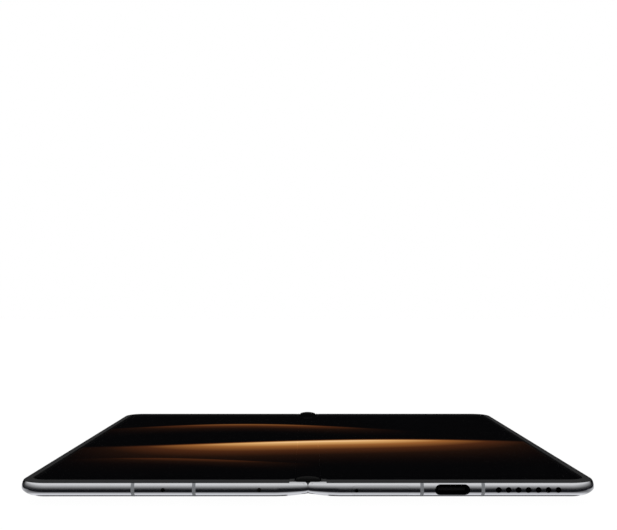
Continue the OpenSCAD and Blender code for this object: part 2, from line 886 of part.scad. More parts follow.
module sim_reader() {
    color("#a9aaad") lift() difference() {
        slab(tray_mid - 8, tray_mid + 6.6, -73.4, -58.5, -port_drop - 0.66, -port_drop + 0.62);
        slab(tray_mid - 5.65, tray_mid + 5.65, -80, -59.0, -port_drop - 0.46, -port_drop + 0.46);
        slab(eject_x - 0.6, eject_x + 0.6, -80, -59.6, -port_drop - 0.4, -port_drop + 0.4);
    }
}

module usb_shell() {
    color("#8f9194") lift() difference() {
        along_y(-half_l + 1.8, -70.6) translate([usb_x, -port_drop]) slot2d(shell_w + 0.3, shell_h + 0.3);
        along_y(-half_l, -71.2) translate([usb_x, -port_drop]) slot2d(shell_w, shell_h);
    }
}

module usb_tongue() {
    color("#2f3033") lift() {
        slab(usb_x - 3.35, usb_x + 3.35, -76.0, -71.3, -port_drop - 0.35, -port_drop + 0.35);
        along_y(-71.9, -71.22) translate([usb_x, -port_drop]) slot2d(shell_w - 0.3, shell_h - 0.3);
    }
}

// Insides

module speaker_box() {
    color("#2c2d30") lift() difference() {
        slab(speaker_mid - 9.5, speaker_mid + 9.5, -73.0, -59, -2.8, deck_z - 0.1);
        slab(speaker_mid - 8.15, speaker_mid + 8.15, -73.5, -71.5, -2.6, -1.42);
        translate([speaker_mid, -65, -3]) cylinder(r = 4.5, h = 0.5);
    }
}

module speaker_mesh() {
    color("#1a1a1c") lift() difference() {
        slab(speaker_mid - 8.5, speaker_mid + 8.5, -73.4, -73.25, -2.9, -1.3);
        for (i = [0 : speaker_holes - 1])
            along_y(-74, -73) translate([speaker_x + i * speaker_pitch, -hole_drop]) circle(r = 0.5, $fn = 6);
    }
}

module earpiece() {
    color("#2c2d30") lift() difference() {
        slab(-64, -52, 62, 71, -3.1, deck_z - 0.1);
        translate([-58, 66.5, -3.5]) cylinder(r = 3.2, h = 0.6);
    }
}

module left_microphones() {
    color("#85878a") lift() for (x = mic_x) slab(-x - 1.2, -x + 1.2, -73.3, -70.6, -2.75, deck_z - 0.1);
}

module vibration_motor() {
    color("#9b9da0") lift() translate([-52, -60, 0]) {
        translate([0, 0, -2.95]) cylinder(r = 5, h = 1.6);
        slab(4, 8, -1.5, 1.5, -2.2, -1.9);
    }
}

module battery_shape(y0, y1) {
    slab(-66, -11, y0, y1, -3.2, deck_z - 0.1);
    slab(-58, -18, y1 - 0.1, y1 + 2.2, -2.6, -1.7);
}

module left_battery() {
    color("#3b3c40") lift() battery_shape(-48, 26);
}

module right_battery() {
    color("#3b3c40") lift() other_half() battery_shape(-46, 4);
}

module main_board() {
    color("#1d5a3c") lift() difference() {
        slab(10.4, 66.6, 9, 72.8, deck_z - 0.55, deck_z - 0.1);
        board_screw_places() translate([0, 0, -3]) cylinder(r = 0.6, h = 3);
    }
}

module board_screw_places() {
    for (p = [[12.5, 11.5], [65, 11.5], [12.5, 70.5], [65, 70.5]]) translate([p[0], p[1], 0]) children();
}

module board_screws() {
    color("#6d6f72") lift() board_screw_places() difference() {
        union() {
            translate([0, 0, -2.0]) cylinder(r = 1.1, h = 0.22);
            translate([0, 0, -1.9]) cylinder(r = 0.5, h = 0.6);
        }
        translate([0, 0, -2.1]) cylinder(r = 0.45, h = 0.2, $fn = 6);
    }
}

module shield_cans() {
    color("#b2b3b6") lift() for (b = [[16, 10, 30, 20], [32, 10, 62, 20], [12, 66.5, 26, 69.2], [50, 66.5, 62, 69.2]])
        slab(b[0], b[2], b[1], b[3], -3.1, deck_z - 0.56);
}

module left_board() {
    color("#1d5a3c") lift() {
        slab(-66, -11, 31, 60, deck_z - 0.55, deck_z - 0.1);
        slab(-45, -11, 60 - eps, 72, deck_z - 0.55, deck_z - 0.1);
        slab(-60, -36, 36, 56, -2.9, deck_z - 0.54);
        slab(-30, -16, 38, 50, -2.7, deck_z - 0.54);
    }
}

module lower_board() {
    color("#1d5a3c") lift() difference() {
        slab(11.2, 66.2, -73.4, -51, -3.35, -2.9);
        slab(usb_x - 5.2, usb_x + 5.2, -80, -70.2, -4, 0);
        translate([speaker_mid, -65, -4]) cylinder(r = 4.6, h = 2);
    }
}

left_frame();
right_frame();
left_rim();
right_rim();
left_antenna_bands();
right_antenna_bands();
left_screen();
right_screen();
fold_screen();
left_backing_plate();
right_backing_plate();
spine_carrier();
spine_cover();
spine_screws();
near_hinge_cap();
far_hinge_cap();
left_hinge_pins();
right_hinge_pins();
left_sync_gears();
right_sync_gears();
friction_clips();
left_hinge_arms();
right_hinge_arms();
left_arm_screws();
right_arm_screws();
fold_flex();
left_flex_tail();
right_flex_tail();
cover_display_glass();
cover_display_panel();
left_cover_seal();
cover_camera();
rear_cover();
rear_cover_seal();
camera_island();
camera_glass();
lens_rings();
lens_windows();
camera_modules();
flash_lens();
power_key();
volume_rocker();
key_switches();
sim_tray();
sim_seal();
sim_reader();
usb_shell();
usb_tongue();
speaker_box();
speaker_mesh();
earpiece();
left_microphones();
vibration_motor();
left_battery();
right_battery();
main_board();
shield_cans();
left_board();
lower_board();
board_screws();
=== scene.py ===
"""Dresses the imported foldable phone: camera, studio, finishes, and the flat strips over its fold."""

import logging
import math
from dataclasses import dataclass
from enum import Enum
from typing import Any

import bmesh
import bpy
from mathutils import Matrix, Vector


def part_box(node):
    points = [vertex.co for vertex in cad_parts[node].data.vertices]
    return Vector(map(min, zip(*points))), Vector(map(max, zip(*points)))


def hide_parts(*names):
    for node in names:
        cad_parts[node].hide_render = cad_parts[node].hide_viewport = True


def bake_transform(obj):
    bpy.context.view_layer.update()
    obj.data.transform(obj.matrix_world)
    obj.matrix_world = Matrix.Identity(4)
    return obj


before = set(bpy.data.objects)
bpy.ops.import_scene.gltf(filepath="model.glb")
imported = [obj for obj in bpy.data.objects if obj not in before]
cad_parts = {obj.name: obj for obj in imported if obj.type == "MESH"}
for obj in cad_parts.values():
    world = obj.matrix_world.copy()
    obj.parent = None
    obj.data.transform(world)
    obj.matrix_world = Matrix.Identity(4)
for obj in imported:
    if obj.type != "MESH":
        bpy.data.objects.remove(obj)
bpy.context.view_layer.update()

MM = 0.001
PLAN_MAP = "rest_plan"  # the strips' map of where each point lies at rest
PLAN_SPAN_MM = 200.0  # the map's width and height
OUTER_MASK = "outer_face"  # 1 on the frames' outer faces, 0 on every other
OUTER_DEPTH = "outer_depth"  # distance in mm below the frames' outer surface
PER_METRE = (1 / MM,) * 3  # a scale that turns metres into millimetres
MOTTLE_LOW = 0.3  # the noise's value where a finish shows its first colour
MOTTLE_HIGH = 0.7  # and where it shows its second
MOTTLE_DETAIL = 3.0
MERGE_MM = 0.002  # face patches closer than this are joined
ANGLE_INPUT = "Socket_1"  # Blender's name for the smoothing group's second input
log = logging.getLogger("phone")


# Colours and nodes

def linear(colour: str) -> tuple[float, float, float, float]:
    """Turn an sRGB hex colour into the linear values that a socket takes.

    Args:
        colour: A hash and six hex digits.

    Returns:
        Red, green, blue and an alpha of one.
    """
    channels = (int(colour[i:i + 2], 16) / 255 for i in (1, 3, 5))
    return (*(c / 12.92 if c <= 0.04045 else ((c + 0.055) / 1.055) ** 2.4 for c in channels), 1.0)


def add_node(
    tree: bpy.types.NodeTree, kind: str, inputs: dict[Any, Any] | None = None,
    stops: list[tuple[float, str]] | None = None, **settings: Any,
) -> bpy.types.Node:
    """Add a node with its settings and links.

    Args:
        tree: The node tree that takes it.
        kind: The node's Blender type.
        inputs: A value or an output socket for each input, by name or number.
        stops: Places and hex colours, for a colour ramp only.
        settings: Properties of the node itself.

    Returns:
        The new node.
    """
    node = tree.nodes.new(kind)
    for name, value in settings.items():
        setattr(node, name, value)
    for key, value in (inputs or {}).items():
        if isinstance(value, bpy.types.NodeSocket):
            tree.links.new(value, node.inputs[key])
        else:
            node.inputs[key].default_value = value
    if stops:
        elements = node.color_ramp.elements
        while len(elements) < len(stops):
            elements.new(0.5)
        for element, (place, colour) in zip(elements, stops):
            element.position = place
            element.color = linear(colour)
    return node


@dataclass(frozen=True)
class Term:
    """A number in a node tree that takes part in plain arithmetic, one math node for each step."""

    tree: bpy.types.NodeTree
    socket: bpy.types.NodeSocket

    def math(self, operation: str, *others: "Term | float") -> "Term":
        """Give the result of a math node.

        Args:
            operation: The node's operation.
            others: What it takes after this number.

        Returns:
            The result, as a new term.
        """
        values = [other.socket if isinstance(other, Term) else other for other in others]
        inputs = dict(enumerate([self.socket, *values]))
        return Term(self.tree, add_node(self.tree, "ShaderNodeMath", inputs, operation=operation).outputs[0])

    def between(self, low: float, high: float) -> "Term":
        """Give the number kept within two bounds."""
        return self.math("MAXIMUM", low).math("MINIMUM", high)

    def ramp(
        self, start: float, end: float, low: float = 0.0, high: float = 1.0, smooth: bool = False,
    ) -> "Term":
        """Give a value that runs from low to high as the number runs from start to end.

        Args:
            start: Where the run starts.
            end: Where it ends.
            low: The value before it.
            high: The value after it.
            smooth: Whether the run eases in and out.

        Returns:
            The value, kept between low and high.
        """
        node = add_node(self.tree, "ShaderNodeMapRange", {
            "Value": self.socket, "From Min": start, "From Max": end, "To Min": low, "To Max": high,
        }, interpolation_type="SMOOTHERSTEP" if smooth else "LINEAR")
        return Term(self.tree, node.outputs[0])

    def __abs__(self) -> "Term":
        """Give the number without its sign."""
        return self.math("ABSOLUTE")

    def __add__(self, other: "Term | float") -> "Term":
        """Give the sum."""
        return self.math("ADD", other)

    def __sub__(self, other: "Term | float") -> "Term":
        """Give the number less another."""
        return self.math("SUBTRACT", other)

    def __rsub__(self, other: float) -> "Term":
        """Give a plain number less this one."""
        return self.math("MULTIPLY_ADD", -1.0, other)

    def __mul__(self, other: "Term | float") -> "Term":
        """Give the product."""
        return self.math("MULTIPLY", other)

    def __truediv__(self, other: "Term | float") -> "Term":
        """Give the quotient."""
        return self.math("DIVIDE", other)

    def __pow__(self, other: float) -> "Term":
        """Give the power."""
        return self.math("POWER", other)


def point_mm(tree: bpy.types.NodeTree, point: bpy.types.NodeSocket) -> tuple[Term, Term, Term]:
    """Give a point in metres as three numbers in millimetres.

    Args:
        tree: The node tree.
        point: The point.

    Returns:
        Its X, Y and Z.
    """
    scaled = add_node(tree, "ShaderNodeVectorMath", {0: point, "Scale": 1 / MM}, operation="SCALE").outputs[0]
    parts = add_node(tree, "ShaderNodeSeparateXYZ", {0: scaled})
    return Term(tree, parts.outputs[0]), Term(tree, parts.outputs[1]), Term(tree, parts.outputs[2])


# Finishes

class Grain(Enum):
    """How a surface was worked, as the stretch of its grain along X, Y and Z."""

    EVEN = (1.0, 1.0, 1.0)
    ALONG_FOLD = (1.0, 0.03, 1.0)
    ACROSS_FOLD = (0.03, 1.0, 1.0)


@dataclass(frozen=True)
class Finish:
    """A surface with a fine mottle in its colour, gloss and height.

    The mottle comes from one noise in the piece's own millimetres, stretched the way the surface was worked.
    """

    name: str
    colour: str
    second_colour: str
    roughness: float
    roughness_spread: float = 0.03
    grain_mm: float = 0.5
    relief_mm: float = 0.001
    grain: Grain = Grain.EVEN
    metallic: float = 0.0
    ior: float = 1.5
    specular: float = 0.5
    coat: float = 0.0
    coat_roughness: float = 0.03

    def material(self) -> bpy.types.Material:
        """Make the finish's material, once.

        Returns:
            The material.
        """
        made = bpy.data.materials.get(f"dressed_{self.name}")
        if made:
            return made
        material = bpy.data.materials.new(f"dressed_{self.name}")
        material.use_nodes = True
        tree = material.node_tree
        tree.nodes.clear()
        shader = self.shader(tree)
        add_node(tree, "ShaderNodeOutputMaterial", {"Surface": shader.outputs[0]})
        return material

    def place(self, tree: bpy.types.NodeTree, scale: tuple[float, float, float]) -> bpy.types.NodeSocket:
        """Give the point on the piece, in metres times a scale.

        Args:
            tree: The material's node tree.
            scale: What each coordinate in metres is multiplied by.

        Returns:
            The scaled point.
        """
        point = add_node(tree, "ShaderNodeTexCoord").outputs["Object"]
        return add_node(tree, "ShaderNodeMapping", {"Vector": point, "Scale": scale}).outputs[0]

    def mottle(self, tree: bpy.types.NodeTree) -> bpy.types.NodeSocket:
        """Make the noise that drives colour, gloss and height.

        Args:
            tree: The material's node tree.

        Returns:
            The noise, from 0 to 1.
        """
        per_metre = 1 / (self.grain_mm * MM)
        point = self.place(tree, tuple(s * per_metre for s in self.grain.value))
        noise = add_node(tree, "ShaderNodeTexNoise", {"Vector": point, "Scale": 1.0, "Detail": MOTTLE_DETAIL})
        return noise.outputs["Fac"]

    def base_colour(self, tree: bpy.types.NodeTree, mottle: bpy.types.NodeSocket) -> bpy.types.NodeSocket:
        """Give the colour: the two colours mixed by the mottle."""
        stops = [(MOTTLE_LOW, self.colour), (MOTTLE_HIGH, self.second_colour)]
        return add_node(tree, "ShaderNodeValToRGB", {"Fac": mottle}, stops=stops).outputs["Color"]

    def shader(self, tree: bpy.types.NodeTree) -> bpy.types.Node:
        """Build the shader.

        Args:
            tree: The material's node tree.

        Returns:
            The shader node.
        """
        mottle = self.mottle(tree)
        rough = add_node(tree, "ShaderNodeMapRange", {
            "Value": mottle, "From Min": MOTTLE_LOW, "From Max": MOTTLE_HIGH,
            "To Min": self.roughness - self.roughness_spread,
            "To Max": self.roughness + self.roughness_spread,
        })
        bump = add_node(tree, "ShaderNodeBump", {
            "Height": mottle, "Strength": 1.0, "Distance": self.relief_mm * MM,
        })
        sockets = {
            "Base Color": self.base_colour(tree, mottle),
            "Roughness": rough.outputs[0],
            "Normal": bump.outputs[0],
            "Metallic": self.metallic,
            "Coat Weight": self.coat,
            "Coat Roughness": self.coat_roughness,
            "Specular IOR Level": self.specular,
        }
        if not self.metallic:
            sockets["IOR"] = self.ior
        return add_node(tree, "ShaderNodeBsdfPrincipled", sockets)


@dataclass(frozen=True)
class PortedMetal(Finish):
    """Polished metal whose drilled and milled insides are darkened with painted shade.

    The mask of outer faces comes from the frames' surface group. Behind it the metal darkens with depth as
    painted shade, but not on the rounded ends that meet at the fold, which are polished too.
    """

    # The painted shade's colour in holes and slots, and the depths in mm below the outer surface where it
    # starts and is full.
    inside: str = "#0b0b0c"
    shade_start_mm: float = 0.0
    full_shade_mm: float = 0.12
    fold_end_mm: float = 1.6

    def base_colour(self, tree: bpy.types.NodeTree, mottle: bpy.types.NodeSocket) -> bpy.types.NodeSocket:
        """Mix the polished colour outside with the painted shade from a little below the surface inwards.

        Args:
            tree: The material's node tree.
            mottle: The noise.

        Returns:
            The colour.
        """
        outside = super().base_colour(tree, mottle)
        outer = Term(tree, add_node(tree, "ShaderNodeAttribute", attribute_name=OUTER_MASK).outputs["Fac"])
        depth = Term(tree, add_node(tree, "ShaderNodeAttribute", attribute_name=OUTER_DEPTH).outputs["Fac"])
        x, _, _ = point_mm(tree, self.place(tree, (1.0, 1.0, 1.0)))
        past_fold_end = abs(x).math("GREATER_THAN", self.fold_end_mm)
        # Painted shade: darker with depth below the outer surface, except at the fold ends.
        share = depth.ramp(self.shade_start_mm, self.full_shade_mm) * (1.0 - outer) * past_fold_end
        return add_node(tree, "ShaderNodeMix", {
            "Factor": share.socket, 6: outside, 7: linear(self.inside),
        }, data_type="RGBA").outputs[2]


class PlanSource(Enum):
    """Where the wallpaper finds a point's place at rest."""

    OBJECT = "the piece's own coordinates"
    MAP = "the piece's map of rest places"


@dataclass(frozen=True)
class Crest:
    """One glowing dune crest of the wallpaper, a sine line across the screen, in millimetres."""

    height: float
    swing: float
    wave: float
    shift: float
    centre: float
    reach: float
    glow: float
    strength: float


@dataclass(frozen=True)
class LitScreen(Finish):
    """Ultra-thin glass over a lit OLED sheet, which shows amber dune crests on black."""

    source: PlanSource = PlanSource.OBJECT
    crests: tuple[Crest, ...] = (
        Crest(height=-8, swing=10, wave=40, shift=0.8, centre=4, reach=92, glow=60, strength=1.0),
        Crest(height=30, swing=15, wave=31, shift=2.3, centre=-20, reach=66, glow=30, strength=0.5),
        Crest(height=-44, swing=7, wave=24, shift=3.6, centre=-34, reach=44, glow=20, strength=0.3),
    )
    light: tuple[tuple[float, str], ...] = (
        (0.0, "#020203"), (0.12, "#1d0e07"), (0.3, "#4a2612"), (0.55, "#99602f"), (0.8, "#dda868"),
        (1.0, "#ffe0b4"),
    )
    # The light rises to full over a crest's line, by these shares of the glow's length above and below it.
    rise_above: float = 0.06
    rise_below: float = 0.04
    tail_power: float = 3.0

    def plan(self, tree: bpy.types.NodeTree) -> tuple[Term, Term]:
        """Find where a point of the sheet lies at rest.

        Args:
            tree: The material's node tree.

        Returns:
            Its X and Y in mm.
        """
        if self.source is PlanSource.OBJECT:
            point = self.place(tree, PER_METRE)
        else:
            uv = add_node(tree, "ShaderNodeUVMap", uv_map=PLAN_MAP).outputs[0]
            half = -PLAN_SPAN_MM / 2
            point = add_node(tree, "ShaderNodeMapping", {
                "Vector": uv, "Scale": (PLAN_SPAN_MM,) * 3, "Location": (half, half, 0.0),
            }).outputs[0]
        parts = add_node(tree, "ShaderNodeSeparateXYZ", {0: point})
        return Term(tree, parts.outputs["X"]), Term(tree, parts.outputs["Y"])

    def crest_light(self, crest: Crest, x: Term, y: Term) -> Term:
        """Give the light of one crest: sharp along the line, and fading away below it.

        Args:
            crest: The crest's sizes.
            x: Distance across the fold.
            y: Distance along the fold.

        Returns:
            The light, from 0 to 1.
        """
        line = (x / crest.wave + crest.shift).math("SINE") * crest.swing + crest.height
        below = line - y
        front = below.ramp(-self.rise_above * crest.glow, self.rise_below * crest.glow, smooth=True)
        tail = below.ramp(0.0, crest.glow, 1.0, 0.0) ** self.tail_power
        along = abs(x - crest.centre).ramp(0.0, crest.reach, crest.strength, 0.0, smooth=True)
        return front * tail * along

    def shader(self, tree: bpy.types.NodeTree) -> bpy.types.Node:
        """Build the shader: black glass with the wallpaper as its own light.

        Args:
            tree: The material's node tree.

        Returns:
            The shader node.
        """
        x, y = self.plan(tree)
        lights = [self.crest_light(crest, x, y) for crest in self.crests]
        total = lights[0]
        for light in lights[1:]:
            total = total.math("MAXIMUM", light)
        glow = add_node(tree, "ShaderNodeValToRGB", {"Fac": total.socket}, stops=list(self.light))
        principled = super().shader(tree)
        tree.links.new(glow.outputs["Color"], principled.inputs["Emission Color"])
        principled.inputs["Emission Strength"].default_value = 1.0
        return principled


@dataclass(frozen=True)
class PrintedBoard(Finish):
    """Solder mask on a circuit board, with the raised lines of the copper beneath it."""

    trace_mm: float = 1.2
    line_share: float = 0.12
    length_share: float = 3.0
    field_height: float = 0.25

    def mottle(self, tree: bpy.types.NodeTree) -> bpy.types.NodeSocket:
        """Make the tracks: a brick pattern whose joints are the lines.

        Args:
            tree: The material's node tree.

        Returns:
            The pattern, white on the lines.
        """
        bricks = add_node(tree, "ShaderNodeTexBrick", {
            "Vector": self.place(tree, PER_METRE), "Scale": 1.0, "Color1": (0, 0, 0, 1),
            "Color2": (self.field_height,) * 3 + (1,), "Mortar": (1, 1, 1, 1),
            "Mortar Size": self.line_share * self.trace_mm,
            "Brick Width": self.length_share * self.trace_mm, "Row Height": self.trace_mm,
        })
        return bricks.outputs["Color"]


@dataclass(frozen=True)
class WovenMesh(Finish):
    """Fine woven screen behind the speaker holes."""

    def mottle(self, tree: bpy.types.NodeTree) -> bpy.types.NodeSocket:
        """Make the weave: a checker of threads, four times as coarse as the real 0.05 mm so that it shows.

        Args:
            tree: The material's node tree.

        Returns:
            The pattern.
        """
        per_metre = 1 / (self.grain_mm * MM)
        return add_node(tree, "ShaderNodeTexChecker", {
            "Vector": self.place(tree, (per_metre,) * 3), "Scale": 1.0,
            "Color1": (MOTTLE_LOW,) * 3 + (1,), "Color2": (MOTTLE_HIGH,) * 3 + (1,),
        }).outputs["Color"]


# Polished, anodised aluminium: a bright mirror a little softened by the buffing, with the room as soft bands.
# Its holes and slots are darkened with painted shade by the finish's depth mask.
POLISHED_FRAME = PortedMetal(
    "polished_aluminium", "#dddee1", "#e1e2e5", 0.09, 0.01, grain_mm=0.4, relief_mm=0.00005, metallic=1.0,
)
# The same on the drawer's front, with the drawer's own frame behind it darkened with depth to a mid grey as
# painted shade.
TRAY_METAL = PortedMetal(
    "milled_tray_aluminium", "#dddee1", "#e1e2e5", 0.09, 0.01, grain_mm=0.4, relief_mm=0.00005, metallic=1.0,
    inside="#8c8d90",
)
# Polished aluminium volume key: the frame's mirror, without its drilled insides.
POLISHED_KEY = Finish(
    "polished_key_aluminium", "#dddee1", "#e1e2e5", 0.09, 0.01, grain_mm=0.4, relief_mm=0.00005, metallic=1.0,
)
# Satin anodised aluminium round the finger pad: blasted before anodising, so it scatters light evenly.
POWER_PAD = Finish("satin_aluminium_key", "#b9babd", "#c2c3c6", 0.32, 0.04, 0.15, 0.0008, metallic=1.0)
# Moulded PBT with a fine spark-eroded grain: reads as an even, very dark grey.
RIM_PLASTIC = Finish(
    "moulded_rim_plastic", "#0e0e0f", "#111112", 0.55, 0.05, 0.12, 0.0015, ior=1.46, specular=0.24,
)
# Moulded black polycarbonate, lightly blasted: a deep, even black with hardly any highlight.
CAP_PLASTIC = Finish(
    "blasted_cap_plastic", "#0a0a0a", "#0c0c0c", 0.5, 0.05, 0.2, 0.0006, ior=1.58, specular=0.02,
)
# Moulded liquid-crystal polymer round the plug contacts: a dull near-black.
TONGUE_PLASTIC = Finish("moulded_tongue", "#0c0c0d", "#111112", 0.5, 0.06, 0.3, 0.001, ior=1.5, specular=0.15)
# Glass-filled nylon, machined flush with the frame: plain grey with a fine fleck.
BAND_PLASTIC = Finish("nylon_band", "#6e7073", "#77797c", 0.42, 0.05, 0.1, 0.0005, ior=1.53)
# Ultra-thin glass with an anti-reflection coat over the lit panel.
SCREEN = LitScreen("lit_screen", "#010101", "#010101", 0.07, 0.01, 6.0, 0.0, specular=0.08)
SCREEN_STRIP = LitScreen(
    "lit_screen_strip", "#010101", "#010101", 0.07, 0.01, 6.0, 0.0, specular=0.08, source=PlanSource.MAP,
)
# Cold-rolled stainless sheet: fine lines along the rolling direction.
ROLLED_STEEL = Finish(
    "rolled_stainless", "#a9aaad", "#b6b7ba", 0.3, 0.06, 0.25, 0.0006, Grain.ALONG_FOLD, metallic=1.0,
)
# Milled steel: tool lines across the fold.
MILLED_STEEL = Finish("milled_steel", "#8b8c8f", "#999a9d", 0.34, 0.06, 0.3, 0.001, Grain.ACROSS_FOLD, 1.0)
# Satin anodised aluminium extrusion: its lines run along the fold.
SPINE_SHELL = Finish("satin_aluminium", "#bcbdc0", "#c6c7ca", 0.28, 0.04, 0.2, 0.0006, Grain.ALONG_FOLD, 1.0)
# Centreless-ground steel: near mirror, with faint rings.
GROUND_STEEL = Finish("ground_steel", "#d2d3d6", "#dadbde", 0.12, 0.03, 0.2, 0.0003, Grain.ACROSS_FOLD, 1.0)
# Sintered steel: open grain that dulls it.
SINTERED_STEEL = Finish("sintered_steel", "#77736d", "#8b877f", 0.45, 0.08, 0.1, 0.003, metallic=1.0)
# Black-oxide steel: dark with worn, lighter high spots.
BLACK_OXIDE = Finish("black_oxide_steel", "#2c2c2e", "#3c3c3e", 0.38, 0.08, 0.3, 0.0005, metallic=1.0)
# Copper-backed polyimide film: laminated amber film over copper, which reads as a warm brown.
POLYIMIDE = Finish("polyimide_film", "#a8662a", "#b97634", 0.28, 0.05, 1.2, 0.002, Grain.ACROSS_FOLD, ior=1.7)
# Toughened glass over a dark display: a deep gloss with faint finger marks.
COVER_GLASS = Finish("cover_glass", "#060608", "#08080a", 0.06, 0.03, 9.0, 0.0, ior=1.52, specular=0.4)
# Laminated display stack: near black with a slight violet cast.
DISPLAY_PANEL = Finish("display_panel", "#101116", "#15161c", 0.25, 0.04, 2.0, 0.0, ior=1.5)
# Closed-cell adhesive foam: dull, with open cells.
SEAL_FOAM = Finish("seal_foam", "#242424", "#2d2d2d", 0.85, 0.08, 0.2, 0.02, ior=1.45)
# Acid-etched back glass: a silky sparkle in dark grey.
ETCHED_GLASS = Finish(
    "etched_glass", "#232427", "#292a2e", 0.36, 0.04, 0.08, 0.0008, ior=1.52, coat=0.25, coat_roughness=0.25,
)
# Turned aluminium island, bead-blasted: finer and duller than the frame.
ISLAND_METAL = Finish("blasted_aluminium", "#b2b3b6", "#bcbdc0", 0.3, 0.04, 0.1, 0.001, metallic=1.0)
# Cover glass printed black on its inner face: a deep, even gloss.
ISLAND_GLASS = Finish("printed_glass", "#050506", "#070708", 0.05, 0.02, 6.0, 0.0, ior=1.52)
# Diamond-turned aluminium ring: near mirror, with a very fine unevenness.
TURNED_RING = Finish("turned_ring", "#cfd0d3", "#dadbde", 0.16, 0.04, 0.12, 0.0006, metallic=1.0)
# Optical glass, polished and coated: near black with a slight blue cast.
LENS_GLASS = Finish("coated_lens", "#07070c", "#0a0a14", 0.03, 0.01, 4.0, 0.0, ior=1.6, coat=1.0)
# Blackened aluminium barrel: a dull black skin that hides the metal under it.
LENS_BARREL = Finish("blackened_barrel", "#141416", "#1c1c1e", 0.42, 0.06, 0.2, 0.002)
# Frosted silicone over the flash diodes: pale yellow.
FLASH_SILICONE = Finish("flash_silicone", "#e6dfc4", "#efe9d2", 0.35, 0.04, 0.4, 0.003, ior=1.42)
# Moulded glass-filled nylon bodies: black with swirls from the flow.
NYLON_BODY = Finish("nylon_body", "#222325", "#2c2d30", 0.5, 0.07, 0.6, 0.003, ior=1.53)
# Silicone rubber: soft, dull red.
SILICONE_RUBBER = Finish("silicone_rubber", "#5b1f1a", "#67251f", 0.7, 0.06, 0.3, 0.004, ior=1.41)
# Drawn stainless shell, its colour darkened with painted shade for its place deep in the socket.
SHADED_SOCKET_STEEL = Finish("drawn_steel_painted_shade", "#3b3c3e", "#47484b", 0.35, 0.06, 0.2, 0.0008, metallic=1.0)
# Polyester screen, woven from black thread: a fine dull check.
SPEAKER_WEAVE = WovenMesh("speaker_weave", "#0b0b0c", "#1c1c1e", 0.7, 0.08, 0.2, 0.02)
# Steel cans of small parts, plated with nickel: a warm grey satin.
NICKEL = Finish("nickel_plate", "#9c9a94", "#a9a7a1", 0.28, 0.05, 0.4, 0.001, metallic=1.0)
# Heat-sealed laminate round a battery cell: dark film with shallow wrinkles.
BATTERY_FILM = Finish("battery_film", "#26272a", "#303136", 0.4, 0.08, 6.0, 0.08, ior=1.5)
# Solder mask, screened in green over the copper: dark fields with raised, lighter lines.
SOLDER_MASK = PrintedBoard("solder_mask", "#0f3a26", "#1f6a44", 0.35, 0.05, 0.3, 0.01, ior=1.5)


def dress(finish: Finish, *nodes: str) -> None:
    """Give CAD nodes a finish.

    Args:
        finish: The finish they take.
        nodes: The nodes' names.
    """
    for name in nodes:
        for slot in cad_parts[name].material_slots:
            slot.link = "OBJECT"
            slot.material = finish.material()


def smoothing_group() -> bpy.types.NodeTree:
    """Make the modifier group that joins a node's face patches and shades it smooth below an angle.

    Returns:
        The geometry node group, made once. Its second input is the angle.
    """
    made = bpy.data.node_groups.get("soft_shading")
    if made:
        return made
    group = bpy.data.node_groups.new("soft_shading", "GeometryNodeTree")
    group.interface.new_socket("Geometry", in_out="INPUT", socket_type="NodeSocketGeometry")
    group.interface.new_socket("Angle", in_out="INPUT", socket_type="NodeSocketFloat")
    group.interface.new_socket("Geometry", in_out="OUTPUT", socket_type="NodeSocketGeometry")
    start = add_node(group, "NodeGroupInput")
    joined = add_node(group, "GeometryNodeMergeByDistance", {
        "Geometry": start.outputs[0], "Distance": MERGE_MM * MM,
    })
    bare = add_node(group, "GeometryNodeRemoveAttribute", {
        "Geometry": joined.outputs[0], "Name": "custom_normal",
    })
    faces = add_node(group, "GeometryNodeSetShadeSmooth", {
        "Geometry": bare.outputs[0], "Shade Smooth": True,
    }, domain="FACE")
    angle = add_node(group, "GeometryNodeInputMeshEdgeAngle")
    sharp = add_node(
        group, "FunctionNodeCompare", {0: angle.outputs[0], 1: start.outputs[1]}, operation="LESS_EQUAL"
    )
    edges = add_node(group, "GeometryNodeSetShadeSmooth", {
        "Geometry": faces.outputs[0], "Shade Smooth": sharp.outputs[0],
    }, domain="EDGE")
    add_node(group, "NodeGroupOutput", {0: edges.outputs[0]})
    return group


def soften(angle_deg: float, *nodes: str) -> None:
    """Shade CAD nodes smooth over every edge flatter than an angle.

    Args:
        angle_deg: The widest bend that still shades smooth.
        nodes: The nodes' names.
    """
    group = smoothing_group()
    for name in nodes:
        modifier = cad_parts[name].modifiers.new("soft_shading", "NODES")
        modifier.node_group = group
        modifier[ANGLE_INPUT] = math.radians(angle_deg)


